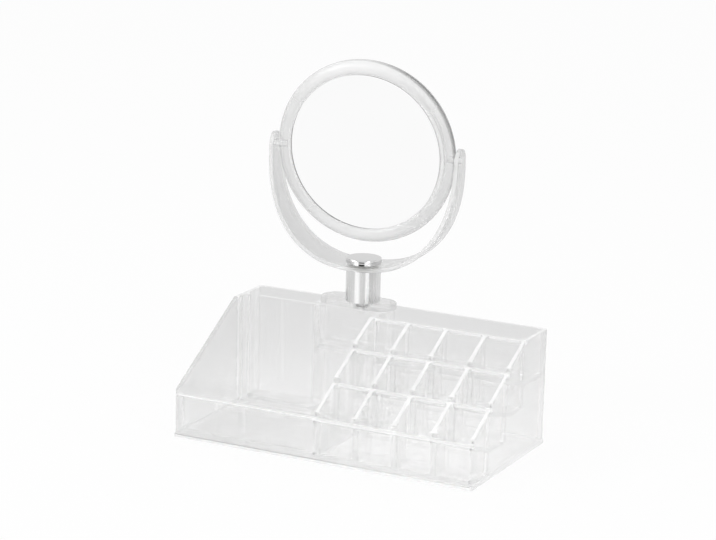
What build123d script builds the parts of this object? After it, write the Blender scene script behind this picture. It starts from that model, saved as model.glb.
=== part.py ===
"""Clear make-up organiser with a round two-sided mirror in a swivelling fork.

Millimetres, +Z up, the front faces -Y.  The origin is the centre of the base
plate's underside, which is the face that the organiser rests on.
"""
from math import asin, cos, degrees, pi, radians, sin
import os

from build123d import *

# ---------------------------------------------------------------- driving sizes
# Organiser box
WIDTH = 220.0
DEPTH = 118.0
HEIGHT = 80.0
WALL = 2.4
FLOOR = 2.0
OUTER_CORNER = 1.6          # rounding of the four upright outer edges
FRONT_HEIGHT = 30.0         # low front wall
SIDE_LOW_HEIGHT = 32.7      # left side wall at its front end
SIDE_SLOPE_TOP_Y = 20.5     # where the left side wall reaches full height
SIDE_TOP_ROUND = 4.0        # rounding where its slope meets the level top

# Base plate, glued under the moulding
PLATE_THICKNESS = 2.6
PLATE_OVERHANG = 0.8
PLATE_EDGE_ROUND = 0.6

# Lipstick cells on the right
DIVIDER_X = -3.8            # centre of the long wall between tray and cells
ROWS = 3
COLUMNS = 4
COLUMN_PITCH = 28.2
CELL_CORNER = 2.5
CELL_FLOOR_ROUND = 1.5
CELL_BACK_Y = 22.5          # centre of the tallest cross wall
CROSS_WALL_TOPS = [30.0, 47.0, 64.0, 80.0]
CELL_FLOORS = [4.6, 19.0, 35.5]
TOOTH_RISE = 3.5            # a divider's low end stands this far above the cross wall

# Tray and rear compartments
TRAY_BACK_Y = 32.0          # front face of the cross wall behind the tray
TRAY_CORNER = 3.5
TRAY_FLOOR_ROUND = 2.0
SEAT_WALL_X = -54.0         # centre of the wall left of the mirror's seat
SLOT_FLOOR = 50.0

# Mirror seat: an oval plate glued on the side, middle and rear walls
SEAT_LEFT = -55.0
SEAT_RIGHT = 1.0
SEAT_FRONT = 36.5
SEAT_BACK = DEPTH / 2 + 0.4
SEAT_THICKNESS = 4.0
SEAT_CORNER = 11.2
SEAT_EDGE_ROUND = 0.8

# Post
POST_X = -23.0
POST_Y = 46.5
POST_DIAMETER = 24.0
POST_WALL = 1.2
POST_FOOT_ROUND = 0.4
SCREW_DIAMETER = 5.0
SCREW_PLAY = 0.1
SCREW_HEAD_DIAMETER = 8.5
SCREW_HEAD_HEIGHT = 3.2
SCREW_HEAD_ROUND = 0.8
SCREW_POINT = 0.5
SCREW_HEX = 4.0
SCREW_HEX_DEPTH = 2.0
WASHER_DIAMETER = 10.0
WASHER_THICKNESS = 1.0

# Swivel stack on top of the post
GLIDE_DIAMETER = 22.0       # nylon glide rings below and above the fork
GLIDE_THICKNESS = 0.5
BUSH_DIAMETER = 8.0
SWIVEL_PLAY = 0.05
CAP_DIAMETER = 24.8
CAP_HEIGHT = 3.6
CAP_ROUND = 0.8
CAP_SKIN = 1.2              # metal left above the screw's blind hole

# Fork: a U-shaped band
FORK_BOTTOM_Z = 107.2       # underside of the band over the post
FORK_THICKNESS = 3.0
FORK_HALF_WIDTH = 68.6      # outer face at the pivot
FORK_SQUARENESS = 2.35      # exponent of the U's superellipse
FORK_TIP_WIDTH = 16.0
FORK_BOTTOM_WIDTH = 31.0
FORK_CURVE_POINTS = 8       # formula points on each half of the U

# Mirror head
PIVOT_Z = 188.5
SWIVEL_ANGLE = 5.7          # the pose it is stored in
TILT_ANGLE = -5.0           # the mirror's top leans to the front
RING_RADIUS = 64.0
RING_HALF_THICKNESS = 6.3
RING_OPENING_RADIUS = 54.4
RING_CREST_RADIUS = 58.8    # where the ring stands highest over the glass
RING_LIP = 0.5
RING_SEAT_RADIUS = 56.8
GLASS_FACE_HEIGHT = 3.2     # the glass faces lie this far from the ring's middle plane
GLASS_PLAY = 0.2
GLASS_THICKNESS = 2.0
MAGNIFIER_CURVATURE = 900.0
PIN_DIAMETER = 5.0
PIN_SOCKET_DIAMETER = 5.1
PIN_DEPTH = 5.5             # how far each pin reaches into the ring
PIN_SHOULDER_DIAMETER = 9.0
PIN_SINK = 0.4              # the pins end this far inside the fork's outer face
PIN_TAPER = 0.5
PIN_END_PLAY = 0.5
SHOULDER_GAP = 0.3
SHOULDER_PLAY = 0.1
PAD_PLAY = 0.3
CAP_GAP = 0.3

# ---------------------------------------------------------------- worked out
MOULDING_BASE = PLATE_THICKNESS
INNER_X = WIDTH / 2 - WALL
INNER_Y = DEPTH / 2 - WALL
FRONT_WALL_Y = -DEPTH / 2 + WALL / 2
ROW_PITCH = (CELL_BACK_Y - FRONT_WALL_Y) / ROWS
CROSS_WALL_YS = [FRONT_WALL_Y + row * ROW_PITCH for row in range(ROWS + 1)]
CELL_LEFT = DIVIDER_X + WALL / 2
BAY_LEFT = DIVIDER_X - WALL / 2
SEAT_TOP = HEIGHT + SEAT_THICKNESS
FORK_HEIGHT = PIVOT_Z - FORK_BOTTOM_Z
FORK_TOP_FACE = FORK_BOTTOM_Z + FORK_THICKNESS
SLEEVE_TOP = FORK_BOTTOM_Z - SWIVEL_PLAY - GLIDE_THICKNESS
CAP_BOTTOM = FORK_TOP_FACE + SWIVEL_PLAY + GLIDE_THICKNESS

pivot = Vector(POST_X, POST_Y, PIVOT_Z)
across = Vector(cos(radians(SWIVEL_ANGLE)), sin(radians(SWIVEL_ANGLE)), 0)
forward = Vector(sin(radians(SWIVEL_ANGLE)), -cos(radians(SWIVEL_ANGLE)), 0)
facing = forward * cos(radians(TILT_ANGLE)) + Vector(0, 0, 1) * sin(radians(TILT_ANGLE))

fork_front = Plane(origin=pivot, x_dir=across, z_dir=forward)
fork_side = Plane(origin=pivot, x_dir=-forward, z_dir=across)
mirror_plane = Plane(origin=pivot, x_dir=across, z_dir=facing)
ring_section = Plane(origin=pivot, x_dir=across, z_dir=across.cross(facing))
facing_axis = Axis(pivot, facing)
post_axis = Axis((POST_X, POST_Y, 0), (0, 0, 1))


def save(part, label):
    """Label a finished piece and write its STEP file."""
    part.label = label
    export_step(part, f"parts/{label}.step")


def pocket(width, length, height, corner, floor_round):
    """The space inside a moulded compartment, with its floor at z = 0."""
    with BuildPart() as space:
        with BuildSketch():
            RectangleRounded(width, length, corner)
        extrude(amount=height)
        fillet(space.faces().sort_by(Axis.Z)[0].edges(), floor_round)
    return space.part


def disc(radius, bottom, thickness, bore=0.0):
    """A round plate on the post's axis, with an optional hole."""
    with BuildPart() as plate:
        with BuildSketch(Plane((POST_X, POST_Y, bottom))):
            Circle(radius)
            if bore > 0:
                Circle(bore, mode=Mode.SUBTRACT)
        extrude(amount=thickness)
    return plate.part


# ---------------------------------------------------------------- organiser
def side_outline():
    """Left side wall seen from the left: low front, slope, level top."""
    return [
        (-DEPTH / 2, MOULDING_BASE),
        (DEPTH / 2, MOULDING_BASE),
        (DEPTH / 2, HEIGHT),
        (SIDE_SLOPE_TOP_Y, HEIGHT),
        (-DEPTH / 2, SIDE_LOW_HEIGHT),
    ]


def tooth_outline():
    """Stepped top of the cell block: one sloping tooth behind each cross wall."""
    points = [(DEPTH / 2, MOULDING_BASE), (-DEPTH / 2, MOULDING_BASE), (-DEPTH / 2, CROSS_WALL_TOPS[0])]
    for row in range(ROWS):
        behind = CROSS_WALL_YS[row] + WALL / 2
        before_next = CROSS_WALL_YS[row + 1] - WALL / 2
        points.append((behind, CROSS_WALL_TOPS[row]))
        points.append((behind, CROSS_WALL_TOPS[row] + TOOTH_RISE))
        points.append((before_next, CROSS_WALL_TOPS[row + 1]))
    points.append((DEPTH / 2, HEIGHT))
    return points


def under_steps_outline():
    """Open space under the raised cell floors and the rear slot."""
    back_of_first = CROSS_WALL_YS[1] + WALL / 2
    back_of_second = CROSS_WALL_YS[2] + WALL / 2
    back_of_third = CROSS_WALL_YS[3] + WALL / 2
    return [
        (back_of_first, 0),
        (back_of_first, CELL_FLOORS[1] - FLOOR),
        (back_of_second, CELL_FLOORS[1] - FLOOR),
        (back_of_second, CELL_FLOORS[2] - FLOOR),
        (back_of_third, CELL_FLOORS[2] - FLOOR),
        (back_of_third, SLOT_FLOOR - FLOOR),
        (INNER_Y, SLOT_FLOOR - FLOOR),
        (INNER_Y, 0),
    ]


def compartment(left, right, front, back, floor_z, corner, floor_round):
    """Where a compartment goes and the space it takes: (location, solid)."""
    space = pocket(right - left, back - front, HEIGHT, corner, floor_round)
    place = Location(((left + right) / 2, (front + back) / 2, floor_z))
    return place * space


tray_floor = PLATE_THICKNESS + FLOOR
seat_wall_left = SEAT_WALL_X - WALL / 2
seat_wall_right = SEAT_WALL_X + WALL / 2
rear_front_y = TRAY_BACK_Y + WALL
slot_front_y = CELL_BACK_Y + WALL / 2

tray_space = compartment(-INNER_X, BAY_LEFT, -INNER_Y, TRAY_BACK_Y, tray_floor, TRAY_CORNER, TRAY_FLOOR_ROUND)
rear_bay_space = compartment(
    -INNER_X, seat_wall_left, rear_front_y, INNER_Y, tray_floor, TRAY_CORNER, TRAY_FLOOR_ROUND
)
seat_space = compartment(
    seat_wall_right, BAY_LEFT, rear_front_y, INNER_Y, SLOT_FLOOR, TRAY_CORNER, TRAY_FLOOR_ROUND
)
slot_space = compartment(CELL_LEFT, INNER_X, slot_front_y, INNER_Y, SLOT_FLOOR, TRAY_CORNER, TRAY_FLOOR_ROUND)
cell_space = pocket(COLUMN_PITCH - WALL, ROW_PITCH - WALL, HEIGHT, CELL_CORNER, CELL_FLOOR_ROUND)

with BuildPart() as organiser:
    # solid blocks with the outer shape
    with BuildSketch(Plane.YZ.offset(-WIDTH / 2)):
        with BuildLine():
            Polyline(*side_outline(), close=True)
        make_face()
        slope_corner = vertices().group_by(Axis.Y)[-1].sort_by(Axis.X)[0]
        fillet(slope_corner, SIDE_TOP_ROUND)
    extrude(amount=WIDTH / 2 + BAY_LEFT)
    with BuildSketch(Plane.YZ.offset(BAY_LEFT)):
        with BuildLine():
            Polyline(*tooth_outline(), close=True)
        make_face()
    extrude(amount=WIDTH / 2 - BAY_LEFT)
    upright_edges = organiser.edges().filter_by(Axis.Z)
    outer_edges = upright_edges.group_by(Axis.X)[0] + upright_edges.group_by(Axis.X)[-1]
    fillet(outer_edges.filter_by(lambda edge: abs(abs(edge.center().Y) - DEPTH / 2) < 0.01), OUTER_CORNER)
    # compartments
    add(tray_space, mode=Mode.SUBTRACT)
    add(rear_bay_space, mode=Mode.SUBTRACT)
    add(seat_space, mode=Mode.SUBTRACT)
    add(slot_space, mode=Mode.SUBTRACT)
    for row in range(ROWS):
        row_y = (CROSS_WALL_YS[row] + CROSS_WALL_YS[row + 1]) / 2
        for column in range(COLUMNS):
            column_x = DIVIDER_X + (column + 0.5) * COLUMN_PITCH
            with Locations((column_x, row_y, CELL_FLOORS[row])):
                add(cell_space, mode=Mode.SUBTRACT)
    # the front wall of the tray is lower than the side wall's front end
    with BuildSketch(Plane.XY.offset(FRONT_HEIGHT)):
        with Locations((-INNER_X, -DEPTH / 2)):
            Rectangle(INNER_X + BAY_LEFT, WALL + TRAY_CORNER, align=(Align.MIN, Align.MIN))
    extrude(amount=HEIGHT, mode=Mode.SUBTRACT)
    # hollow underside
    with BuildSketch(Plane.YZ.offset(CELL_LEFT)):
        with BuildLine():
            Polyline(*under_steps_outline(), close=True)
        make_face()
    extrude(amount=INNER_X - CELL_LEFT, mode=Mode.SUBTRACT)
    with BuildSketch(Plane.XY):
        with Locations((seat_wall_right, rear_front_y)):
            Rectangle(BAY_LEFT - seat_wall_right, INNER_Y - rear_front_y, align=(Align.MIN, Align.MIN))
    extrude(amount=SLOT_FLOOR - FLOOR, mode=Mode.SUBTRACT)

plate_width = WIDTH + 2 * PLATE_OVERHANG
plate_length = DEPTH + 2 * PLATE_OVERHANG

with BuildPart() as base_plate:
    with BuildSketch():
        RectangleRounded(plate_width, plate_length, OUTER_CORNER + PLATE_OVERHANG)
    extrude(amount=PLATE_THICKNESS)
    fillet(base_plate.faces().sort_by(Axis.Z)[-1].edges(), PLATE_EDGE_ROUND)

# ---------------------------------------------------------------- mirror seat
seat_width = SEAT_RIGHT - SEAT_LEFT
seat_length = SEAT_BACK - SEAT_FRONT
seat_centre = ((SEAT_LEFT + SEAT_RIGHT) / 2, (SEAT_FRONT + SEAT_BACK) / 2)

with BuildPart() as mirror_seat:
    with BuildSketch(Plane.XY.offset(HEIGHT)):
        with Locations(seat_centre):
            RectangleRounded(seat_width, seat_length, SEAT_CORNER)
    extrude(amount=SEAT_THICKNESS)
    fillet(mirror_seat.faces().sort_by(Axis.Z)[-1].edges(), SEAT_EDGE_ROUND)
    with BuildSketch(Plane((POST_X, POST_Y, HEIGHT))):
        Circle(SCREW_DIAMETER / 2 + SCREW_PLAY)
    extrude(amount=SEAT_THICKNESS, mode=Mode.SUBTRACT)

# ---------------------------------------------------------------- post and swivel
with BuildPart() as post_sleeve:
    with BuildSketch(Plane((POST_X, POST_Y, SEAT_TOP))):
        Circle(POST_DIAMETER / 2)
        Circle(POST_DIAMETER / 2 - POST_WALL, mode=Mode.SUBTRACT)
    extrude(amount=SLEEVE_TOP - SEAT_TOP - FLOOR)
    # closed top that carries the glide ring
    with BuildSketch(Plane((POST_X, POST_Y, SLEEVE_TOP - FLOOR))):
        Circle(POST_DIAMETER / 2)
        Circle(SCREW_DIAMETER / 2 + SCREW_PLAY, mode=Mode.SUBTRACT)
    extrude(amount=FLOOR)
    rims = post_sleeve.edges().filter_by(GeomType.CIRCLE).group_by(SortBy.RADIUS)[-1].sort_by(Axis.Z)
    fillet([rims[0], rims[-1]], POST_FOOT_ROUND)

bush_bottom = SLEEVE_TOP
bush_height = CAP_BOTTOM - bush_bottom
glide_below = disc(GLIDE_DIAMETER / 2, SLEEVE_TOP, GLIDE_THICKNESS, BUSH_DIAMETER / 2)
glide_above = disc(GLIDE_DIAMETER / 2, FORK_TOP_FACE + SWIVEL_PLAY, GLIDE_THICKNESS, BUSH_DIAMETER / 2)
swivel_bush = disc(BUSH_DIAMETER / 2, bush_bottom, bush_height, SCREW_DIAMETER / 2)
head_top = HEIGHT - WASHER_THICKNESS
head_plane = Plane((POST_X, POST_Y, head_top - SCREW_HEAD_HEIGHT))
seat_washer = disc(WASHER_DIAMETER / 2, head_top, WASHER_THICKNESS, SCREW_DIAMETER / 2)

screw_end = CAP_BOTTOM + CAP_HEIGHT - CAP_SKIN
with BuildPart() as post_screw:
    with BuildSketch(head_plane):
        Circle(SCREW_HEAD_DIAMETER / 2)
    extrude(amount=SCREW_HEAD_HEIGHT)
    fillet(post_screw.edges().group_by(Axis.Z)[0], SCREW_HEAD_ROUND)
    with BuildSketch(head_plane):
        RegularPolygon(SCREW_HEX / 2, 6, major_radius=False)
    extrude(amount=SCREW_HEX_DEPTH, mode=Mode.SUBTRACT)
    with BuildSketch(Plane((POST_X, POST_Y, head_top))):
        Circle(SCREW_DIAMETER / 2)
    extrude(amount=screw_end - head_top)
    chamfer(post_screw.edges().group_by(Axis.Z)[-1], SCREW_POINT)

with BuildPart() as swivel_cap:
    with BuildSketch(Plane((POST_X, POST_Y, CAP_BOTTOM))):
        Circle(CAP_DIAMETER / 2)
    extrude(amount=CAP_HEIGHT)
    fillet(swivel_cap.edges().group_by(Axis.Z)[-1], CAP_ROUND)
    with BuildSketch(Plane((POST_X, POST_Y, CAP_BOTTOM))):
        Circle(SCREW_DIAMETER / 2)
    extrude(amount=screw_end - CAP_BOTTOM, mode=Mode.SUBTRACT)


# ---------------------------------------------------------------- fork
def fork_curve(inset):
    """The U from the left arm to the right one, as points of a superellipse."""
    half_width = FORK_HALF_WIDTH - inset
    height = FORK_HEIGHT - inset
    power = 2 / FORK_SQUARENESS
    points = []
    for step in range(2 * FORK_CURVE_POINTS + 1):
        turn = pi * step / (2 * FORK_CURVE_POINTS)
        side = -1 if cos(turn) > 0 else 1
        x = side * half_width * abs(cos(turn)) ** power
        points.append((x, -height * sin(turn) ** power))
    return points


tip_radius = FORK_TIP_WIDTH / 2
with BuildPart() as fork:
    with BuildSketch(fork_front.offset(-FORK_BOTTOM_WIDTH / 2)):
        with BuildLine():
            outer = Spline(*fork_curve(0), tangents=[(0, -1), (0, 1)])
            inner = Spline(*fork_curve(FORK_THICKNESS), tangents=[(0, -1), (0, 1)])
            left_arm = Polyline(
                outer @ 0, outer @ 0 + Vector(0, tip_radius), inner @ 0 + Vector(0, tip_radius), inner @ 0
            )
            right_arm = Polyline(
                outer @ 1, outer @ 1 + Vector(0, tip_radius), inner @ 1 + Vector(0, tip_radius), inner @ 1
            )
        make_face()
    extrude(amount=FORK_BOTTOM_WIDTH)
    # seen from the side the band is wide at the post and narrow, with round ends, at the pins
    with BuildSketch(fork_side.offset(-FORK_HALF_WIDTH - 1)):
        with BuildLine():
            top = CenterArc((0, 0), tip_radius, 0, 180)
            Polyline(
                top @ 1,
                (-FORK_BOTTOM_WIDTH / 2, -FORK_HEIGHT - 1),
                (FORK_BOTTOM_WIDTH / 2, -FORK_HEIGHT - 1),
                top @ 0,
            )
        make_face()
    extrude(amount=2 * FORK_HALF_WIDTH + 2, mode=Mode.INTERSECT)
    # flat seat for the cap, the swivel hole and the two pin holes
    with BuildSketch(Plane((POST_X, POST_Y, FORK_TOP_FACE))):
        Circle(CAP_DIAMETER / 2 + CAP_GAP)
    extrude(amount=CAP_HEIGHT, mode=Mode.SUBTRACT)
    with BuildSketch(Plane((POST_X, POST_Y, FORK_BOTTOM_Z))):
        Circle(BUSH_DIAMETER / 2 + SWIVEL_PLAY)
    extrude(amount=FORK_THICKNESS, mode=Mode.SUBTRACT)
    with BuildSketch(fork_side):
        Circle(PIN_DIAMETER / 2)
    extrude(amount=FORK_HALF_WIDTH + 1, both=True, mode=Mode.SUBTRACT)

with BuildPart() as pivot_pin_right:
    with BuildSketch(fork_side.offset(RING_RADIUS - PIN_DEPTH)):
        Circle(PIN_DIAMETER / 2)
    extrude(amount=PIN_DEPTH + FORK_HALF_WIDTH - RING_RADIUS - PIN_SINK)
    chamfer(pivot_pin_right.edges().group_by(Axis(pivot, across))[0], PIN_TAPER)
    # shoulder between the fork and the ring
    with BuildSketch(fork_side.offset(RING_RADIUS + SHOULDER_GAP)):
        Circle(PIN_SHOULDER_DIAMETER / 2)
    extrude(amount=FORK_HALF_WIDTH - FORK_THICKNESS - RING_RADIUS - SHOULDER_GAP - SHOULDER_PLAY)

with BuildPart() as pivot_pin_left:
    add(pivot_pin_right.part)
    mirror(about=fork_side, mode=Mode.REPLACE)


# ---------------------------------------------------------------- mirror head
lip_height = GLASS_FACE_HEIGHT + RING_LIP

with BuildPart() as frame_front:
    with BuildSketch(ring_section):
        with BuildLine():
            Polyline(
                (RING_RADIUS, 0),
                (RING_SEAT_RADIUS, 0),
                (RING_SEAT_RADIUS, GLASS_FACE_HEIGHT),
                (RING_OPENING_RADIUS, GLASS_FACE_HEIGHT),
                (RING_OPENING_RADIUS, lip_height),
            )
            EllipticalCenterArc(
                (RING_CREST_RADIUS, lip_height),
                RING_CREST_RADIUS - RING_OPENING_RADIUS,
                RING_HALF_THICKNESS - lip_height,
                start_angle=90,
                arc_size=90,
            )
            EllipticalCenterArc(
                (RING_CREST_RADIUS, 0), RING_RADIUS - RING_CREST_RADIUS, RING_HALF_THICKNESS, arc_size=90
            )
        make_face()
    revolve(axis=facing_axis)
    # half of each pin socket
    with BuildSketch(fork_side.offset(-RING_RADIUS - 1)):
        Circle(PIN_SOCKET_DIAMETER / 2)
    extrude(amount=PIN_DEPTH + 1 + PIN_END_PLAY, mode=Mode.SUBTRACT)
    with BuildSketch(fork_side.offset(RING_RADIUS + 1)):
        Circle(PIN_SOCKET_DIAMETER / 2)
    extrude(amount=-PIN_DEPTH - 1 - PIN_END_PLAY, mode=Mode.SUBTRACT)

with BuildPart() as frame_rear:
    add(frame_front.part)
    mirror(about=mirror_plane, mode=Mode.REPLACE)

glass_radius = RING_SEAT_RADIUS - GLASS_PLAY
glass_back = GLASS_FACE_HEIGHT - GLASS_THICKNESS
dish_angle = degrees(asin(RING_OPENING_RADIUS / MAGNIFIER_CURVATURE))
dish_centre = MAGNIFIER_CURVATURE * cos(radians(dish_angle))

with BuildPart() as plain_mirror:
    with BuildSketch(mirror_plane.offset(glass_back)):
        Circle(glass_radius)
    extrude(amount=GLASS_THICKNESS)


def dished_face(rim_height):
    """Half of one dished face, from its rim to the mirror's axis."""
    return CenterArc((0, rim_height - dish_centre), MAGNIFIER_CURVATURE, 90 - dish_angle, dish_angle)


with BuildPart() as magnifying_mirror:
    with BuildSketch(ring_section):
        with BuildLine():
            visible_face = dished_face(-GLASS_FACE_HEIGHT)
            coated_face = dished_face(-glass_back)
            Line(visible_face @ 1, coated_face @ 1)
            Polyline(
                coated_face @ 0,
                (glass_radius, -glass_back),
                (glass_radius, -GLASS_FACE_HEIGHT),
                visible_face @ 0,
            )
        make_face()
    revolve(axis=facing_axis)

pad_radius = glass_radius - PAD_PLAY
with BuildPart() as mirror_pad:
    with BuildSketch(ring_section):
        with BuildLine():
            pad_hollow = dished_face(-glass_back)
            Polyline(
                pad_hollow @ 1,
                (0, glass_back),
                (pad_radius, glass_back),
                (pad_radius, -glass_back),
                pad_hollow @ 0,
            )
        make_face()
    revolve(axis=facing_axis)

# ---------------------------------------------------------------- files
os.makedirs("parts", exist_ok=True)
save(organiser.part, "organiser_moulding")
save(base_plate.part, "base_plate")
save(mirror_seat.part, "mirror_seat")
save(post_sleeve.part, "post_sleeve")
save(post_screw.part, "post_screw")
save(seat_washer, "seat_washer")
save(glide_below, "glide_ring_lower")
save(glide_above, "glide_ring_upper")
save(swivel_bush, "swivel_bush")
save(swivel_cap.part, "swivel_cap")
save(fork.part, "fork")
save(pivot_pin_left.part, "pivot_pin_left")
save(pivot_pin_right.part, "pivot_pin_right")
save(frame_front.part, "frame_front")
save(frame_rear.part, "frame_rear")
save(plain_mirror.part, "plain_mirror")
save(magnifying_mirror.part, "magnifying_mirror")
save(mirror_pad.part, "mirror_pad")
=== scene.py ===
# %% [markdown]
# # A clear make-up organiser with a swivelling mirror
#
# The real thing is moulded in clear polystyrene: a box with an open tray on the
# left, twelve lipstick cells in three steps on the right and three compartments
# behind them.  A round two-sided mirror stands on a short chrome post, held in
# a U-shaped band that turns on the post and lets the mirror tilt.
#
# The imported CAD model is the frame that everything here is fitted to.  It is
# loaded first.

# %% Load the frame
import math

import bmesh
import bpy
from mathutils import Matrix, Vector


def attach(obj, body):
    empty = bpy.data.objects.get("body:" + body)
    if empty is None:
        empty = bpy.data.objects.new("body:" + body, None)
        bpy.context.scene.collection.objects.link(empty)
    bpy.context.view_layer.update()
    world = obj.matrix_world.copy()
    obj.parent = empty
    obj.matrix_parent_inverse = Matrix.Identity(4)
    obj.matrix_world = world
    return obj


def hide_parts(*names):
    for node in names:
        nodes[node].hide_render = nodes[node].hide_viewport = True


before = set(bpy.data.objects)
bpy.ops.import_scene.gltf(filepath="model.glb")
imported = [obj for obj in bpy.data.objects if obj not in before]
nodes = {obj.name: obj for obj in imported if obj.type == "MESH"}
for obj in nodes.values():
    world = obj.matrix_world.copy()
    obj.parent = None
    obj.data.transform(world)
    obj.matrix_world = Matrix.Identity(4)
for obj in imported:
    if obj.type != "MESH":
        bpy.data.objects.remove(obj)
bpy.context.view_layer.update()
MM = 0.001
print("CAD nodes:", sorted(nodes))

# %% [markdown]
# ## The camera
#
# A long lens from the front, a little right of centre and about head height
# over a table, turned slightly about its own axis.  A real camera could be
# aimed with a constraint; here the angles and the distance were measured from
# the picture's corners, so the matrix is written from them directly.  The
# picture is 716 by 540 pixels, and the focal length is given in those pixels.

# %% Camera
PICTURE_WIDTH_PX = 716
FOCAL_PX = 2614.16
AZIMUTH, ELEVATION, ROLL = (math.radians(a) for a in (26.486, 14.168, 1.461))
DISTANCE = 1772.57 * MM
AIM_ACROSS, AIM_UP = -0.764 * MM, 114.678 * MM

towards_camera = Vector((
    math.sin(AZIMUTH) * math.cos(ELEVATION),
    -math.cos(AZIMUTH) * math.cos(ELEVATION),
    math.sin(ELEVATION),
))
level_right = Vector((math.cos(AZIMUTH), math.sin(AZIMUTH), 0))
level_up = towards_camera.cross(level_right)
image_right = math.cos(ROLL) * level_right + math.sin(ROLL) * level_up
image_up = -math.sin(ROLL) * level_right + math.cos(ROLL) * level_up

lens = bpy.data.cameras.new("camera")
lens.sensor_width = 36
lens.lens = lens.sensor_width * FOCAL_PX / PICTURE_WIDTH_PX
camera = bpy.data.objects.new("camera", lens)
bpy.context.scene.collection.objects.link(camera)
place = towards_camera * DISTANCE + image_right * AIM_ACROSS + image_up * AIM_UP
turn = Matrix((image_right, image_up, towards_camera)).transposed().to_4x4()
camera.matrix_world = Matrix.Translation(place) @ turn
bpy.context.scene.camera = camera
print("camera at", [round(v, 3) for v in place], "lens", round(lens.lens, 1), "mm")

# %% [markdown]
# ## Small tools for materials
#
# Shader maths is easier to read as Python.  `Value` wraps one socket, and
# adding or multiplying it adds a Math node.  `Finish` is a material being
# built, and its `node` method makes any other node from its type, its settings
# and the values or links of its sockets.

# %% Shader tools
class Value:
    """One number in a node tree; Python's operators turn it into Math nodes."""

    def __init__(self, tree, socket):
        self.tree = tree
        self.socket = socket

    def math(self, operation, *others):
        made = self.tree.node("ShaderNodeMath", {"operation": operation}, {})
        for place, value in enumerate((self, *others)):
            self.tree.feed(made.inputs[place], value)
        return Value(self.tree, made.outputs[0])

    def __add__(self, other):
        return self.math("ADD", other)

    __radd__ = __add__

    def __mul__(self, other):
        return self.math("MULTIPLY", other)

    __rmul__ = __mul__

    def __sub__(self, other):
        return self.math("SUBTRACT", other)

    def __rsub__(self, other):
        return (self * -1) + other

    def __pow__(self, other):
        return self.math("POWER", other)

    def clamped(self):
        return self.math("MAXIMUM", 0).math("MINIMUM", 1)

    def step(self, low, high):
        """0 below low, 1 above high, with a soft change between them."""
        ramp = ((self - low) * (1 / (high - low))).clamped()
        return ramp * ramp * (3 - 2 * ramp)

    def close_to(self, middle, near, far):
        """1 less than near away from middle, 0 more than far away from it."""
        return 1 - (self - middle).math("ABSOLUTE").step(near, far)


class Tree:
    """A node tree being built."""

    def __init__(self, tree):
        self.tree = tree
        tree.nodes.clear()

    def feed(self, socket, value):
        if isinstance(value, Value):
            value = value.socket
        if isinstance(value, bpy.types.NodeSocket):
            self.tree.links.new(value, socket)
        else:
            socket.default_value = value

    def node(self, kind, settings, sockets):
        """Add a node: its settings are set first, then its sockets by name or number."""
        made = self.tree.nodes.new(kind)
        for name, value in settings.items():
            setattr(made, name, value)
        for name, value in sockets.items():
            self.feed(made.inputs[name], value)
        return made

    def value(self, kind, settings, sockets, output=0):
        return Value(self, self.node(kind, settings, sockets).outputs[output])


class Finish(Tree):
    """The look of a material or of the world."""

    def __init__(self, owner):
        self.owner = owner
        owner.use_nodes = True
        super().__init__(owner.node_tree)

    def place(self):
        """The point on the piece, in metres, in the piece's own space."""
        return self.node("ShaderNodeTexCoord", {}, {}).outputs["Object"]

    def coordinates(self):
        """The x, y and z of that point."""
        split = self.node("ShaderNodeSeparateXYZ", {}, {0: self.place()})
        return [Value(self, split.outputs[axis]) for axis in range(3)]

    def vector(self, operation, *vectors, output="Vector"):
        """Maths on whole points; a length or a distance comes out of the output Value."""
        made = self.node("ShaderNodeVectorMath", {"operation": operation}, dict(enumerate(vectors)))
        return made.outputs[output]

    def noise(self, scale, detail=3.0, rough=0.5):
        """Smooth noise between 0 and 1, with features about 1 / scale metres across."""
        sockets = {"Vector": self.place(), "Scale": scale, "Detail": detail, "Roughness": rough}
        return self.value("ShaderNodeTexNoise", {}, sockets, "Fac")

    def mix(self, factor, first, second):
        """A colour between first and second."""
        made = self.node("ShaderNodeMix", {"data_type": "RGBA"}, {})
        self.feed(made.inputs[0], factor)
        self.feed(made.inputs[6], first)
        self.feed(made.inputs[7], second)
        return made.outputs[2]

    def blend(self, share, first, second):
        """A shader between first and second."""
        return self.node("ShaderNodeMixShader", {}, {0: share, 1: first.outputs[0], 2: second.outputs[0]})

    def bump(self, height, strength, distance):
        sockets = {"Height": height, "Strength": strength, "Distance": distance}
        return self.node("ShaderNodeBump", {}, sockets).outputs["Normal"]

    def finish(self, shader, output="ShaderNodeOutputMaterial"):
        end = self.node(output, {}, {})
        self.tree.links.new(shader.outputs[0], end.inputs["Surface"])
        return self.owner


def grey(level, alpha=1.0):
    return (level, level, level, alpha)


print("shader tools ready")

# %% [markdown]
# ## Where things stand
#
# The painted light and shade in the plastic and the bright rims depend on where
# the walls are, so those places are named once.  The outside of the box is read
# from the CAD node.  The fork stands turned a few degrees, and the mirror leans a
# little forward in it.  Both are built square to the axes first, round the pivot,
# and then their meshes are turned into place.

# %% Places on the box and the mirror
box_points = [vertex.co for vertex in nodes["organiser_moulding"].data.vertices]
HALF_WIDTH, HALF_DEPTH, BOX_TOP = (max(point[axis] for point in box_points) for axis in range(3))
WALL = 2.4 * MM
DIVIDER_X, COLUMN = -3.8 * MM, 28.2 * MM
STEP_TOPS = [top * MM for top in (30, 47, 64, 80)]
FRONT_WALL, LAST_CROSS_WALL = WALL / 2 - HALF_DEPTH, 22.5 * MM
ROW = (LAST_CROSS_WALL - FRONT_WALL) / 3
CROSS_WALLS = [FRONT_WALL + ROW * row for row in range(4)]
print("box reaches to", [round(v * 1000, 1) for v in (HALF_WIDTH, HALF_DEPTH, BOX_TOP)], "mm")

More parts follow.
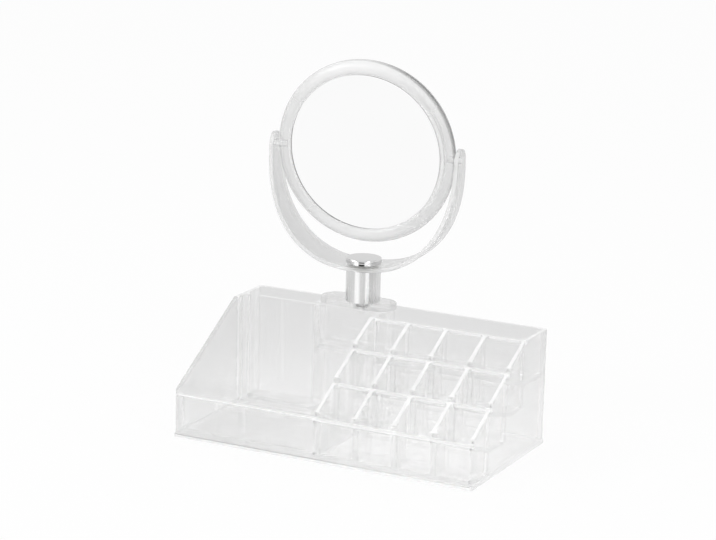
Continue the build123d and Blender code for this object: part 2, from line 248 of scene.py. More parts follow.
PIVOT = Vector((-23.0, 46.5, 188.5)) * MM
POST_X, POST_Y, PIVOT_Z = PIVOT
SWIVEL, LEAN = math.radians(5.7), math.radians(-5.0)
fork_turn = Matrix.Translation(PIVOT) @ Matrix.Rotation(SWIVEL, 4, "Z")
mirror_turn = fork_turn @ Matrix.Rotation(-LEAN, 4, "X")
MIRROR_FACES = mirror_turn.to_3x3() @ Vector((0, -1, 0))
print("mirror faces", [round(v, 3) for v in MIRROR_FACES])

# %% [markdown]
# ## The clear plastic
#
# Clear polystyrene bends light a little more than glass does.  A glass shader
# with real wall thickness gives bright fillets of its own accord, which a
# see-through fake would not, but a box of more than twenty walls turns almost
# black in it, because a path tracer gives up before the light finds its way
# out.  So most of the light goes straight on, through a Transparent shader, and
# the rest is bent.  The share that is bent grows with the Fresnel factor, which
# makes walls seen edge-on shine.  The moulding is never perfectly flat, so a
# slow wave goes into the bump, and fingers leave patches that are less polished.
#
# The tops of the walls get a white frost finish of their own, with a faint
# painted glow: a painted highlight for the light that ran inside the plastic
# and comes out there.  The ring and the band are slightly hazy, so they are
# given some roughness.  Painted light, dots of painted shade and painted dark
# lines are put where the moulding is thick or rounded; each plastic that has
# them gets a function that says where.

# %% Clear plastic
PLASTIC_IOR = 1.57
# The white of the frost finish, the strength of its painted glow, and the grey of the painted shade.
FROST, PAINTED_GLOW, PAINTED_SHADE = 0.99, 0.035, 0.55


def frost_highlight_shader(f, level, glow=0.0):
    """White, slightly see-through plastic, a painted highlight as on the edge of a wall; glow is a painted
    glow for light from inside.
    """
    haze = f.noise(90, 3)
    return f.node("ShaderNodeBsdfPrincipled", {}, {
        "Base Color": f.mix(haze, grey(level - 0.03), grey(level)),
        "Roughness": haze * 0.1 + 0.3,
        "IOR": PLASTIC_IOR,
        "Transmission Weight": 0.3,
        "Emission Color": grey(1.0),
        "Emission Strength": glow,
        "Normal": f.bump(f.noise(400, 2), 0.1, 0.0002),
    })


def clear_plastic(name, tint, bend, polish=0.0, wave=0.15, marks=None):
    """Clear plastic that lets most light straight through and bends the share given by bend.

    marks(f) gives two factors between 0 and 1: where painted light in the white frost finish goes, and where
    painted shade goes.
    """
    f = Finish(bpy.data.materials.new(name))
    smudge = f.noise(70, 4).step(0.45, 0.75)
    cloud = f.noise(18, 2).step(0.3, 0.7)
    solid = f.node("ShaderNodeBsdfPrincipled", {}, {
        "Base Color": f.mix(cloud, grey(0.98), grey(1.0)),
        "Roughness": smudge * 0.02 + polish,
        "IOR": PLASTIC_IOR,
        "Transmission Weight": 1.0,
        "Normal": f.bump(f.noise(30, 1), wave, 0.0006),
    })
    straight = f.node("ShaderNodeBsdfTransparent", {}, {"Color": grey(tint)})
    inside = Value(f, f.node("ShaderNodeNewGeometry", {}, {}).outputs["Backfacing"])
    shine = f.value("ShaderNodeFresnel", {}, {"IOR": inside * (1 / PLASTIC_IOR - PLASTIC_IOR) + PLASTIC_IOR})
    share = shine * (1 - bend) + bend + (smudge - 0.5) * 0.04
    both = f.blend(share, straight, solid)
    # Painted light, in the white frost finish with its faint glow, and painted shade, in a grey see-through
    # shader, are mixed in where marks asks.
    if marks:
        highlight_share, painted_shade_share = marks(f)
        both = f.blend(highlight_share, both, frost_highlight_shader(f, FROST, PAINTED_GLOW))
        both = f.blend(painted_shade_share, both, f.node("ShaderNodeBsdfTransparent", {}, {"Color": grey(PAINTED_SHADE)}))
    return f.finish(both)


def highlight_edge(name, share, level=FROST, glow=0.0):
    """The narrow edges of the walls, white as a painted highlight where the light inside the plastic comes
    out.
    """
    f = Finish(bpy.data.materials.new(name))
    straight = f.node("ShaderNodeBsdfTransparent", {}, {"Color": grey(level)})
    return f.finish(f.blend(f.noise(90, 3) * 0.1 + share, straight, frost_highlight_shader(f, level, glow)))


# %% Painted light and shade in the plastic
def shade_dots_at_divider(row, wall_y, top):
    """(y, z, size) of each dot of painted shade where a divider meets one cross wall."""
    if row == len(CROSS_WALLS) - 1:
        return []
    painted_shade_dots = [(wall_y + 1.4 * MM, top + 1.6 * MM, 1.3 * MM)]
    if row == 0:
        painted_shade_dots += [(wall_y - WALL / 2, top - depth, 1.6 * MM) for depth in (2.6 * MM, 24.5 * MM)]
    return painted_shade_dots


def box_painted_light(f):
    """Painted light under the tops of the cross walls, and dots of painted shade at the dividers' feet."""
    x, y, z = f.coordinates()
    at_cells = x.step(DIVIDER_X - 2 * MM, DIVIDER_X - 1 * MM)
    in_column = ((x - DIVIDER_X) * (1 / COLUMN)).math("ADD", 0.5).math("FRACT") - 0.5
    # left of the cells there is no divider, so the distance to one is made very long
    from_divider = in_column * COLUMN + (1 - at_cells)
    # The first sum is painted light along the wall tops, the second painted shade at the dividers' feet.
    wall_top_light, painted_shade_dots = 0, 0
    for row, (wall_y, top) in enumerate(zip(CROSS_WALLS, STEP_TOPS)):
        below = top - z
        depth = (at_cells * 1.2 + 1.0) * MM if row == 0 else at_cells * 2.0 * MM
        within = below.step(-0.5 * MM, -0.1 * MM) * (1 - (below - depth).step(-0.5 * MM, 0.3 * MM))
        wall_top_light = wall_top_light + y.close_to(wall_y, 1.3 * MM, 1.6 * MM) * within
        for spot_y, spot_z, size in shade_dots_at_divider(row, wall_y, top):
            away = (from_divider ** 2 + (y - spot_y) ** 2 + (z - spot_z) ** 2).math("SQRT")
            painted_shade_dots = painted_shade_dots + (1 - away.step(size * 0.4, size))
    speck = f.noise(60, 2).step(0.42, 0.62)
    # the rounded corner between the tray's left and back walls gets a painted highlight too
    tray_corner_highlight = y.close_to(30.2 * MM, 1.3 * MM, 2.0 * MM) * (1 - x.step(-104.5 * MM, -103.8 * MM))
    return (wall_top_light * 0.6).clamped() + tray_corner_highlight * 0.35, painted_shade_dots.clamped() * speck * 0.6


def base_painted_light(f):
    """A line of painted shade along the plate's upper front edge, fading to the right, with painted light on
    the front face below it.
    """
    x, y, z = f.coordinates()
    front = 1 - y.step(-59.6 * MM, -59.2 * MM)
    upper = z.step(1.5 * MM, 2.0 * MM)
    left = 1 - x.step(0, 90 * MM) * 0.8
    return front * (1 - upper) * 0.5, front * upper * left * 0.6


def ring_painted_light(f):
    """The ring has an even white haze, with painted light that makes it lighter above and below, and painted
    shade that darkens its outer edge, most on the upper right.
    """
    x, _, z = f.coordinates()
    x, z = x - POST_X, z - PIVOT_Z
    radius = (x * x + z * z).math("SQRT")
    up = z.math("DIVIDE", radius)
    upper_right = (x * 0.85 + z * 0.53).math("DIVIDE", radius)
    haze_and_painted_light = up ** 2 * up ** 2 * 0.5 + up.math("MAXIMUM", 0) * 0.18 + 0.1
    painted_dark_outline = radius.step(62.8 * MM, 63.7 * MM) * (upper_right.step(0.55, 0.95) * 0.55 + 0.2)
    return haze_and_painted_light, painted_dark_outline


# %% The plastics of the pieces
box_plastic = clear_plastic("box_plastic", 1.0, 0.22, marks=box_painted_light)
base_plastic = clear_plastic("base_plastic", 1.0, 0.22, marks=base_painted_light)
seat_plastic = clear_plastic("seat_plastic", 0.985, 0.25)
bright_rim_highlight = highlight_edge("bright_rim_highlight", 0.6, glow=0.06)
grey_rim_shade = highlight_edge("grey_rim_shade", 0.45, 0.8)
band_side_highlight = highlight_edge("band_side_highlight", 0.35)
ring_plastic = clear_plastic("ring_plastic", 1.0, 0.2, polish=0.15, wave=0.02, marks=ring_painted_light)
pin_plastic = clear_plastic("pin_plastic", 1.0, 0.06, polish=0.2, wave=0.02)
fork_plastic = clear_plastic("fork_plastic", 0.96, 0.12, polish=0.2, wave=0.02)
print("clear plastics:", box_plastic.name, ring_plastic.name, fork_plastic.name)

# %% [markdown]
# ## Metal, mirror and the small parts
#
# The post and its cap are chrome plated.  The cap is nearly a mirror, and its
# side gets a painted dark reflection with a painted light bar across it; the post
# is satin, brushed along its length, and two bright stripes of painted highlight
# run down it and the cap.  The stripes are found from the angle round the post,
# the arc tangent of the two level coordinates.  They could be painted on an
# image, but an angle needs no unwrapping and stays sharp at any distance.  The
# silvered glass reflects almost everything, and the thin dark line where its
# silvering ends is darkened further by painted shade on two sides.  The screw is
# zinc plated, and the glide rings and the bush are natural nylon.

# %% Metal, mirror, nylon and foam
def metal(name, level, rough, mottle, scale):
    """Bare metal with fine marks."""
    f = Finish(bpy.data.materials.new(name))
    marks = f.noise(scale, 5.0, 0.6)
    shader = f.node("ShaderNodeBsdfPrincipled", {}, {
        "Base Color": f.mix(marks, grey(level - mottle), grey(level + mottle)),
        "Metallic": 1.0,
        "Roughness": marks * rough + rough * 0.5,
        "Normal": f.bump(marks, 0.05, 0.0001),
    })
    return f.finish(shader)


def brushed_chrome(name, dark, rough, highlight_stripes, repaint=None):
    """Chrome brushed along the post, with bright stripes of painted highlight, each given by its angle and
    width in degrees.

    repaint(f, colour, around, z) may change the colour by the angle round the post and the height.
    """
    f = Finish(bpy.data.materials.new(name))
    x, y, z = f.coordinates()
    around = (y - POST_Y).math("ARCTAN2", x - POST_X)
    lines = f.vector("MULTIPLY", f.place(), (1, 1, 0.04))
    brushed = f.value("ShaderNodeTexNoise", {}, {"Vector": lines, "Scale": 700.0, "Detail": 4.0}, "Fac")
    # Brushed grain, with painted highlight added where the bright stripes run.
    grain_and_highlights = (brushed - 0.5) * 0.9
    for middle, width in highlight_stripes:
        grain_and_highlights = grain_and_highlights + around.close_to(
            math.radians(middle), math.radians(width * 0.4), math.radians(width * 1.6))
    colour = f.mix(grain_and_highlights.clamped(), grey(dark), grey(1.0))
    if repaint:
        colour = repaint(f, colour, around, z)
    shader = f.node("ShaderNodeBsdfPrincipled", {}, {
        "Base Color": colour,
        "Metallic": 1.0,
        "Roughness": brushed * 0.12 + rough,
        "Normal": f.bump(brushed, 0.1, 0.0001),
    })
    return f.finish(shader)


def cap_painted_reflection(f, colour, around, z):
    """The cap's top is plain, and its side gets a painted dark reflection with a painted light bar across it.
    """
    side = 1 - z.step(113.3 * MM, 113.7 * MM)
    painted_light_bar = z.step(111.9 * MM, 112.1 * MM) * (1 - z.step(112.7 * MM, 112.9 * MM))
    # A patch of painted dark reflection on the side, broken by the painted light bar.
    dark = around.close_to(math.radians(-70.5), math.radians(8), math.radians(10)) * (1 - painted_light_bar) * side
    return f.mix(dark, f.mix(side, grey(0.82), colour), grey(0.03))


def dull(name, colour, rough, grain):
    """An opaque plastic or foam."""
    f = Finish(bpy.data.materials.new(name))
    speck = f.noise(grain, 4)
    shader = f.node("ShaderNodeBsdfPrincipled", {}, {
        "Base Color": f.mix(speck, (*[c * 0.93 for c in colour], 1), (*colour, 1)),
        "Roughness": speck * 0.15 + rough,
        "Normal": f.bump(speck, 0.2, 0.0002),
    })
    return f.finish(shader)


def silvered_glass(name):
    """Mirror glass; a thin dark line where the silvering ends, with painted shade that makes it darker on the
    lower left and the upper right.
    """
    f = Finish(bpy.data.materials.new(name))
    centred = f.vector("SUBTRACT", f.place(), PIVOT)
    off_axis = f.vector("CROSS_PRODUCT", centred, MIRROR_FACES)
    radius = Value(f, f.vector("LENGTH", off_axis, output="Value"))
    split = f.node("ShaderNodeSeparateXYZ", {}, {0: centred})
    x, z = (Value(f, split.outputs[axis]) for axis in (0, 2))
    # The edge line is darkened further by painted shade on the lower left and the upper right.
    painted_shade_aslant = (x * 0.82 + z * 0.57).math("DIVIDE", radius).math("ABSOLUTE").step(0.3, 0.9)
    line = radius.step(53.6 * MM, 54.0 * MM) * (1 - radius.step(54.3 * MM, 54.5 * MM))
    edge_line_and_shade = line * (painted_shade_aslant * 0.75 + 0.15)
    film = f.noise(30, 4)
    shader = f.node("ShaderNodeBsdfPrincipled", {}, {
        "Base Color": f.mix(edge_line_and_shade, f.mix(film, grey(0.955), grey(0.965)), grey(0.2)),
        "Metallic": 1.0,
        "Roughness": film * 0.008 + edge_line_and_shade * 0.2,
        "Normal": f.bump(film, 0.01, 0.0001),
    })
    return f.finish(shader)


chrome = brushed_chrome("chrome", 0.6, 0.04, [(-88, 8), (-53, 8)], cap_painted_reflection)
satin = brushed_chrome("satin_chrome", 0.66, 0.2, [(-84, 8), (-51, 6)])
zinc = metal("zinc", 0.97, 0.25, 0.02, 260)
silvered = silvered_glass("silvered_glass")
nylon = dull("nylon", (0.86, 0.86, 0.84), 0.45, 500)
foam = dull("foam", (0.80, 0.80, 0.79), 0.85, 900)
print("opaque finishes:", chrome.name, zinc.name, silvered.name, nylon.name, foam.name)

# %% [markdown]
# ## Turning a CAD node into a smooth piece
#
# A CAD node comes in as loose triangles.  For glass the triangles have to be
# joined and the round parts shaded smoothly, so a copy is merged, its flat
# triangles are dissolved into whole faces, and edges sharper than 25 degrees
# are marked sharp.  The copy then stands for the node and rides on the body
# that carries it.  Pieces that are built new come in through `new_piece`.

# %% Tools for copies and new pieces
def add_piece(name, mesh, material, body, *stands_for):
    """A piece of the scene that stands for CAD nodes and rides on a body."""
    mesh.name = name
    mesh.materials.clear()
    mesh.materials.append(material)
    piece = bpy.data.objects.new(name, mesh)
    bpy.context.scene.collection.objects.link(piece)
    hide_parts(*stands_for)
    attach(piece, body)
    print(name, len(mesh.vertices), "vertices", len(mesh.polygons), "faces")
    return piece


def new_piece(name, mesh, material, body, *stands_for):
    piece = add_piece(name, mesh, material, body, *stands_for)
    return piece


def smooth_copy(node, name, material, body, sharp_degrees=25):
    """A smooth copy of a CAD node."""
    mesh = nodes[node].data.copy()
    bm = bmesh.new()
    bm.from_mesh(mesh)
    bmesh.ops.remove_doubles(bm, verts=bm.verts, dist=2e-6)
    bmesh.ops.dissolve_limit(bm, angle_limit=math.radians(0.3), verts=bm.verts, edges=bm.edges)
    for face in bm.faces:
        face.smooth = True
    for edge in bm.edges:
        edge.smooth = len(edge.link_faces) == 2 and edge.calc_face_angle() < math.radians(sharp_degrees)
    bm.to_mesh(mesh)
    bm.free()
    for layer in list(mesh.attributes):
        if layer.name == "custom_normal":
            mesh.attributes.remove(layer)
    return add_piece(name, mesh, material, body, node)


# %% [markdown]
# ## The moulded box
#
# The box is one moulding: an open tray, twelve cells in three steps and three
# compartments behind.  It could be modelled again wall by wall, but the CAD node
# already has every wall and fillet where it belongs, so a smooth copy is used.

# %% The box
box = smooth_copy("organiser_moulding", "moulded_box", box_plastic, "organiser")

# %% [markdown]
# ## Bright rims
#
# Each wall ends in a narrow level or sloping face.  These faces are found from
# where the walls stand and how high each step of cells is, and they get the
# white frost finish with a faint glow, a painted highlight; those of the left
# and rear walls stand out against the white page and get a greyer one without
# glow, painted shade.  Picking them by hand would work once; a rule also works
# when the box is made again with other sizes.  The top is lowered by a hair, so
# that the seat plate that rests on it does not share a face with it.

# %% Bright rims of the box
AIR = 0.04 * MM
BRIGHT_RIM, SHADED_RIM = 1, 2


def middle_of(face, mesh):
    corners = [mesh.vertices[v].co for v in face.vertices]
    return sum(corners, Vector()) / len(corners)


def on_outer_wall(middle):
    """True within a wall's thickness of the middle of one of the four outer walls."""
    from_side = abs(abs(middle.x) - HALF_WIDTH + WALL / 2)
    from_front = abs(abs(middle.y) - HALF_DEPTH + WALL / 2)
    return from_side < WALL or from_front < WALL


def is_rim(face, middle):
    """True for the narrow faces on top of the walls, dividers and steps."""
    if face.normal.z < 0.3 or middle.z < STEP_TOPS[0] - 1 * MM:
        return False
    if middle.x < DIVIDER_X - WALL / 2:
        return middle.z > BOX_TOP - 1 * MM or (on_outer_wall(middle) and middle.z > STEP_TOPS[0] - 0.5 * MM)
    step = sum(middle.y > wall + WALL / 2 for wall in CROSS_WALLS)
    return middle.z > STEP_TOPS[max(step - 1, 0)] - 0.1 * MM


for vertex in box.data.vertices:
    if vertex.co.z > BOX_TOP - 0.01 * MM:
        vertex.co.z -= AIR
box.data.materials.append(bright_rim_highlight)
box.data.materials.append(grey_rim_shade)
rims = 0
for face in box.data.polygons:
    middle = middle_of(face, box.data)
    if is_rim(face, middle):
        # Left and rear rims get the greyer finish as painted shade; the others get the bright one as painted
        # highlight.
        left_or_rear = middle.x < -HALF_WIDTH + 2.5 * MM or middle.y > HALF_DEPTH - 2.5 * MM
        face.material_index = SHADED_RIM if left_or_rear else BRIGHT_RIM
        rims += 1
print("rim faces:", rims, "of", len(box.data.polygons))

# %% [markdown]
# ## Base plate, seat, post and cap
#
# These four are simple turned or cut shapes with rounded edges, and copies of
# their CAD nodes are enough.  The base plate is lowered by a hair as well,
# because two clear solids that touch hide what lies behind them.

# %% Base plate, seat, post and cap
base = smooth_copy("base_plate", "base", base_plastic, "organiser")
base_top = max(vertex.co.z for vertex in base.data.vertices)
for vertex in base.data.vertices:
    if vertex.co.z > base_top - 0.01 * MM:
        vertex.co.z -= AIR
seat = smooth_copy("mirror_seat", "seat", seat_plastic, "organiser")
sleeve = smooth_copy("post_sleeve", "sleeve", satin, "organiser")
cap = smooth_copy("swivel_cap", "cap", chrome, "organiser")

# %% [markdown]
# ## The fork
#
# The fork is one band of clear plastic bent into a U: narrow, with round ends,
# at the pins, and wide over the post.  It could be cut from a block or modelled
# with a curve and a bevel object.  Its shape follows rules, so Geometry Nodes
# build it: a line is bent into a superellipse, a rounded strip is swept along
# it, and every point is then moved out sideways as far as the width there asks.

# %% A Geometry Nodes tree for the band
FORK = {"Half Width": 68.6 * MM, "Drop": 81.3 * MM, "Thickness": 3.0 * MM, "Tip Width": 16.0 * MM,
        "Foot Width": 31.0 * MM, "Squareness": 2.35, "Edge Round": 0.7 * MM}


def group_with_inputs(name, sizes):
    group = bpy.data.node_groups.new(name, "GeometryNodeTree")
    group.interface.new_socket("Geometry", in_out="INPUT", socket_type="NodeSocketGeometry")
    for label, size in sizes.items():
        socket = group.interface.new_socket(label, in_out="INPUT", socket_type="NodeSocketFloat")
        socket.default_value = size
    group.interface.new_socket("Geometry", in_out="OUTPUT", socket_type="NodeSocketGeometry")
    return group


def close_tree(tree, geometry, material):
    """End a tree with Set Material and Realize Instances."""
    painted = tree.node("GeometryNodeSetMaterial", {}, {"Geometry": geometry, "Material": material})
    real = tree.node("GeometryNodeRealizeInstances", {}, {"Geometry": painted.outputs[0]})
    tree.node("NodeGroupOutput", {}, {0: real.outputs[0]})


def evaluate(name, group, sizes, source=None):
    """Run a tree on an object and return the result as a plain mesh."""
    data = source or bpy.data.meshes.new(name + "_start")
    holder = bpy.data.objects.new(name + "_holder", data)
    bpy.context.scene.collection.objects.link(holder)
    modifier = holder.modifiers.new(name, "NODES")
    modifier.node_group = group
    for item in group.interface.items_tree:
        if item.in_out == "INPUT" and item.name in sizes:
            modifier[item.identifier] = sizes[item.name]
    graph = bpy.context.evaluated_depsgraph_get()
    mesh = bpy.data.meshes.new_from_object(holder.evaluated_get(graph), depsgraph=graph)
    bpy.data.objects.remove(holder)
    return mesh


def band_tree(material, stations=200):
    group = group_with_inputs("bent_band", FORK)
    t = Tree(group)
    sizes = t.node("NodeGroupInput", {}, {})
    half, drop, thick, tip, foot, square, edge = (Value(t, sizes.outputs[label]) for label in FORK)
    line = t.node("GeometryNodeCurvePrimitiveLine", {}, {"Start": (0, 0, 0), "End": (0, 0, -1)})
    line = t.node("GeometryNodeResampleCurve", {}, {"Curve": line.outputs[0], "Count": stations})
    along = t.value("GeometryNodeSplineParameter", {}, {}, "Factor")
    # the first and last tenth are the straight tips
    along = (along - 0.1) * 1.25
    middle = along.clamped()
    beyond = (middle - along).math("ABSOLUTE") * 8
    angle = middle * math.pi
    side = angle.math("COSINE")
    power = 2 * square ** -1
    arm = half - thick * 0.5
    low = drop - thick * 0.5
    x = side.math("SIGN") * side.math("ABSOLUTE") ** power * arm * -1
    z = angle.math("SINE").math("MAXIMUM", 0) ** power * low * -1
    z = z + (beyond * (math.pi / 2)).math("SINE") * tip * 0.5
    point = t.node("ShaderNodeCombineXYZ", {}, {"X": x, "Y": 0.0, "Z": z})
    path = t.node("GeometryNodeSetPosition", {}, {"Geometry": line.outputs[0], "Position": point.outputs[0]})
    strip = t.node("GeometryNodeCurvePrimitiveQuadrilateral", {}, {"Width": thick, "Height": tip})
    strip = t.node("GeometryNodeFilletCurve", {"mode": "POLY"}, {
        "Curve": strip.outputs[0], "Radius": edge, "Count": 4})
    swept = t.node("GeometryNodeCurveToMesh", {}, {
        "Curve": path.outputs[0], "Profile Curve": strip.outputs[0], "Fill Caps": True})
    where = t.node("GeometryNodeInputPosition", {}, {})
    split = t.node("ShaderNodeSeparateXYZ", {}, {0: where.outputs[0]})
    px, py, pz = (Value(t, split.outputs[axis]) for axis in range(3))
    down = (pz * -1 * drop ** -1).clamped()
    up = (pz * (tip * 0.5) ** -1).clamped()
    wider = (foot - tip) * 0.5 * down
    round_end = (1 - up * up).math("MAXIMUM", 0).math("SQRT")
    spread = (py + py.math("SIGN") * wider) * round_end
    moved = t.node("ShaderNodeCombineXYZ", {}, {"X": px, "Y": spread, "Z": pz})
    shaped = t.node("GeometryNodeSetPosition", {}, {
        "Geometry": swept.outputs[0], "Position": moved.outputs[0]})
    joined = t.node("GeometryNodeMergeByDistance", {}, {"Geometry": shaped.outputs[0], "Distance": 0.02 * MM})
    close_tree(t, joined.outputs[0], material)
    return group


band_mesh = evaluate("band", band_tree(fork_plastic), FORK)
print("band:", len(band_mesh.vertices), "points")

# %% Place the band
def settle(mesh, turn, sharp_degrees=35):
    """Turn a mesh into place, point its faces outwards and shade its round parts smoothly."""
    mesh.transform(turn)
    bm = bmesh.new()
    bm.from_mesh(mesh)
    bmesh.ops.recalc_face_normals(bm, faces=bm.faces)
    for face in bm.faces:
        face.smooth = True
    for edge in bm.edges:
        edge.smooth = len(edge.link_faces) != 2 or edge.calc_face_angle() < math.radians(sharp_degrees)
    bm.to_mesh(mesh)
    bm.free()
    return mesh


# %% [markdown]
# ## The ring that holds the glasses
#
# Two moulded halves, each a round lip over the edge of its glass.  A half is a
# turned shape, so a tree sweeps its profile round a circle.  The halves stop a
# hair short of each other, because two clear solids that share a face confuse
# the path of the light.

# %% The ring's profile and tree
RING = {"Radius": 60.0 * MM}
RING_OUT, RING_HALF, RING_OPEN, RING_SEAT, RING_CREST = 64.0, 6.3, 54.4, 56.8, 58.8
GLASS_FACE, LIP = 3.2, 0.5


def half_ring_profile():
    """(radius, height) points of one half, in millimetres, counter-clockwise."""
    gap, steps = 0.03, 20
    points = [(RING_SEAT, gap), (RING_OUT, gap)]
    outside, inside = RING_OUT - RING_CREST, RING_CREST - RING_OPEN
    for step in range(1, steps + 1):
        turn = math.pi / 2 * step / steps
        points.append((RING_CREST + outside * math.cos(turn), RING_HALF * math.sin(turn)))
    low = GLASS_FACE + LIP
    for step in range(1, steps + 1):
        turn = math.pi / 2 * (1 + step / steps)
        points.append((RING_CREST + inside * math.cos(turn), low + (RING_HALF - low) * math.sin(turn)))
    return points + [(RING_OPEN, GLASS_FACE + gap), (RING_SEAT, GLASS_FACE + gap)]


def profile_curve(points, radius):
    """A closed curve for Curve to Mesh: x points out from the ring's centre, y along its axis."""
    curve = bpy.data.curves.new("profile", "CURVE")
    curve.dimensions = "3D"
    spline = curve.splines.new("POLY")
    spline.points.add(len(points) - 1)
    for place, (r, h) in zip(spline.points, points):
        place.co = (r * MM - radius, h * MM, 0, 1)
    spline.use_cyclic_u = True
    return curve


def ring_tree(material, segments=288):
    group = group_with_inputs("turned_ring", RING)
    t = Tree(group)
    sizes = t.node("NodeGroupInput", {}, {})
    circle = t.node("GeometryNodeCurvePrimitiveCircle", {}, {
        "Resolution": segments, "Radius": sizes.outputs["Radius"]})
    swept = t.node("GeometryNodeCurveToMesh", {}, {
        "Curve": circle.outputs[0], "Profile Curve": sizes.outputs["Geometry"]})
    joined = t.node("GeometryNodeMergeByDistance", {}, {"Geometry": swept.outputs[0], "Distance": 0.001 * MM})
    close_tree(t, joined.outputs[0], material)
    return group


turned = evaluate("ring", ring_tree(ring_plastic), RING, profile_curve(half_ring_profile(), RING["Radius"]))
print("half ring:", len(turned.vertices), "points")

# %% [markdown]
# ## Sockets and holes
#
# The pins sit in sockets between the two ring halves and in holes in the fork,
# and the post's bush passes through the fork.  In clear plastic these holes
# show, so they are cut for real with Boolean modifiers, and the result is kept
# as a plain mesh.

# %% Cutting tool
def rod(radius, start, end, sides=48):
    """A closed round rod between two points, used to cut a hole."""
    start, end = Vector(start), Vector(end)
    turn = (end - start).to_track_quat("Z", "Y").to_matrix()
    angles = [2 * math.pi * i / sides for i in range(sides)]
    ring = [Vector((math.cos(angle), math.sin(angle), 0)) * radius for angle in angles]
    points = [start + turn @ p for p in ring] + [end + turn @ p for p in ring]
    walls = [(i, (i + 1) % sides, sides + (i + 1) % sides, sides + i) for i in range(sides)]
    ends = [tuple(range(sides))[::-1], tuple(range(sides, 2 * sides))]
    mesh = bpy.data.meshes.new("rod")
    mesh.from_pydata(points, [], walls + ends)
    return mesh


def cut(mesh, *rods):
    """The mesh with round holes where the rods are."""
    body = bpy.data.objects.new("to_cut", mesh)
    bpy.context.scene.collection.objects.link(body)
    tools = []
    for tool_mesh in rods:
        tool = bpy.data.objects.new("tool", tool_mesh)
        bpy.context.scene.collection.objects.link(tool)
        tools.append(tool)
        boolean = body.modifiers.new("hole", "BOOLEAN")
        boolean.object = tool
        boolean.operation = "DIFFERENCE"
        boolean.solver = "EXACT"
    graph = bpy.context.evaluated_depsgraph_get()
    done = bpy.data.meshes.new_from_object(body.evaluated_get(graph), depsgraph=graph)
    for made in (body, *tools):
        bpy.data.objects.remove(made)
    return done


# %% Cut and place the ring halves and the band
SOCKET_RADIUS, SOCKET_START, SOCKET_END = 2.55 * MM, 58.0 * MM, 66.0 * MM
PIN_HOLE, BUSH_HOLE, CAP_SEAT = 2.53 * MM, 4.05 * MM, 12.7 * MM
for name, node, quarter in (("ring_front", "frame_front", -90), ("ring_rear", "frame_rear", 90)):
    half = turned.copy()
    half.transform(Matrix.Rotation(math.radians(quarter), 4, "X"))
    sockets = [rod(SOCKET_RADIUS, (way * SOCKET_START, 0, 0), (way * SOCKET_END, 0, 0)) for way in (-1, 1)]
    half = cut(half, *sockets)
    new_piece(name, settle(half, mirror_turn), ring_plastic, "mirror_body", node)

floor_of_band = -FORK["Drop"]
band_top = floor_of_band + FORK["Thickness"]
band_mesh = cut(
    band_mesh,
    rod(PIN_HOLE, (-75 * MM, 0, 0), (75 * MM, 0, 0)),
    rod(BUSH_HOLE, (0, 0, floor_of_band - 1 * MM), (0, 0, band_top + 1 * MM)),
    rod(CAP_SEAT, (0, 0, band_top), (0, 0, band_top + 2 * MM), 96),
)
band = new_piece("band", settle(band_mesh, fork_turn), fork_plastic, "fork_body", "fork")
band.data.materials.append(band_side_highlight)
# The band's narrow side faces get the white edge finish, a painted highlight.
sideways = fork_turn.to_3x3() @ Vector((0, 1, 0))
for face in band.data.polygons:
    face.material_index = int(abs(face.normal.dot(sideways)) > 0.6)

# %% [markdown]
# ## The pieces that stay as they are
#
# The glasses, the pad, the screw and the small parts of the swivel are plain
# discs and rods, which the CAD model already shows fully.  They only need their
# finish.  The pins are moulded in the same plastic as the band.

# %% Materials of the nodes that stay
finishes = {
    "plain_mirror": silvered, "magnifying_mirror": silvered, "mirror_pad": foam,
    "post_screw": zinc, "seat_washer": zinc, "pivot_pin_left": pin_plastic, "pivot_pin_right": pin_plastic,
    "glide_ring_lower": nylon, "glide_ring_upper": nylon, "swivel_bush": nylon,
}
for name, material in finishes.items():
    nodes[name].data.materials.clear()
    nodes[name].data.materials.append(material)
print("finished nodes:", len(finishes))

# %% [markdown]
# ## The studio
#
# A pale table in a pale room, with soft light from two sides.  What is looked
# at directly is pure white, as on a catalogue page.  Clear plastic and metal
# show the room instead: light grey paper behind the plastic, with a painted pool
# of light right under the box and painted shade farther from it, and a white
# table top that fades farther away in whatever mirrors it.  The Light Path node
# tells these cases apart.  A lamp for each of them would be the photographer's
# way, and would take much longer to balance.

# %% Floor
def stage_plane(name, size, height, material):
    mesh = bpy.data.meshes.new(name)
    corners = [(-size, -size, height), (size, -size, height), (size, size, height), (-size, size, height)]
    mesh.from_pydata(corners, [], [(0, 1, 2, 3)])
    mesh.materials.append(material)
    plane = bpy.data.objects.new(name, mesh)
    bpy.context.scene.collection.objects.link(plane)
    return plane


def rays(tree):
    """1 for what the camera sees, 1 where it sees it through plastic, and 1 for what shines in a surface."""
    path = tree.node("ShaderNodeLightPath", {}, {})
    bent = Value(tree, path.outputs["Is Transmission Ray"])
    seen = Value(tree, path.outputs["Is Camera Ray"]).math("MAXIMUM", bent)
    through = bent.math("MAXIMUM", path.outputs["Transparent Depth"]).clamped()
    return seen, through, Value(tree, path.outputs["Is Glossy Ray"])


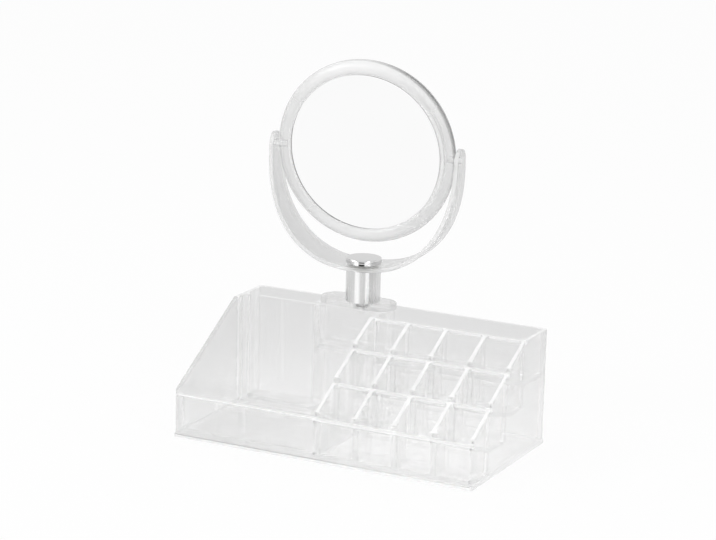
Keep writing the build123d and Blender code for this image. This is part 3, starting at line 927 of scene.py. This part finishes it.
BACKDROP, NEAR_FLOOR, FAR_BACKDROP = 0.89, 1.06, 0.73
ROOM, SOFT_LIGHT, OWN_LIGHT = 0.78, 0.8, 0.93
f = Finish(bpy.data.materials.new("floor"))
seen, through, mirrored = rays(f)
paper = f.node("ShaderNodeBsdfDiffuse", {}, {"Color": grey(0.8)})
spot = Value(f, f.node("ShaderNodeVectorMath", {"operation": "LENGTH"}, {0: f.place()}).outputs["Value"])
aside = f.node("ShaderNodeVectorMath", {"operation": "DISTANCE"}, {0: f.place(), 1: (45 * MM, -15 * MM, 0)})
# Seen through the plastic, the floor gets a painted pool of light near the box, and painted shade farther
# off.
painted_light_pool = 1 - Value(f, aside.outputs["Value"]).step(0.03, 0.12)
behind_plastic = painted_light_pool * (NEAR_FLOOR - BACKDROP) + BACKDROP - spot.step(0.06, 0.34) * (BACKDROP - FAR_BACKDROP)
looked_at = 1 - through * (1 - behind_plastic)
reflected = 1 - spot.step(0.45, 2.5) * (1 - ROOM)
level = seen * looked_at + (1 - seen) * mirrored * reflected
glow = f.node("ShaderNodeEmission", {}, {"Color": grey(1.0), "Strength": level})
share = (seen + (1 - seen) * mirrored) * OWN_LIGHT
both = f.node("ShaderNodeMixShader", {}, {0: share, 1: paper.outputs[0], 2: glow.outputs[0]})
floor = stage_plane("floor", 6, -0.2 * MM, f.finish(both))

# %% World and lamps
f = Finish(bpy.data.worlds.new("studio"))
bpy.context.scene.world = f.owner
seen, through, mirrored = rays(f)
unseen = SOFT_LIGHT - mirrored * (SOFT_LIGHT - ROOM)
strength = seen * (1 - through * (1 - FAR_BACKDROP)) + (1 - seen) * unseen
sky = f.node("ShaderNodeBackground", {}, {"Color": grey(1.0), "Strength": strength})
f.finish(sky, "ShaderNodeOutputWorld")


def softbox(name, place, aim, size, watts):
    lamp = bpy.data.lights.new(name, "AREA")
    lamp.shape = "RECTANGLE"
    lamp.size, lamp.size_y = size
    lamp.energy = watts
    made = bpy.data.objects.new(name, lamp)
    bpy.context.scene.collection.objects.link(made)
    made.location = place
    made.rotation_euler = (Vector(aim) - Vector(place)).to_track_quat("-Z", "Y").to_euler()
    return made


softbox("softbox_left", (-1.0, -0.9, 1.1), (0, 0, 0.1), (0.7, 0.7), 9)
softbox("softbox_right", (1.1, -0.6, 0.9), (0, 0, 0.1), (0.5, 0.7), 5)
light = bpy.context.scene.cycles
light.max_bounces = light.transmission_bounces = light.transparent_max_bounces = 48

# %% [markdown]
# ## The colour view
#
# The colour view is set to Standard.

# %% Colour view
bpy.context.scene.view_settings.view_transform = "Standard"
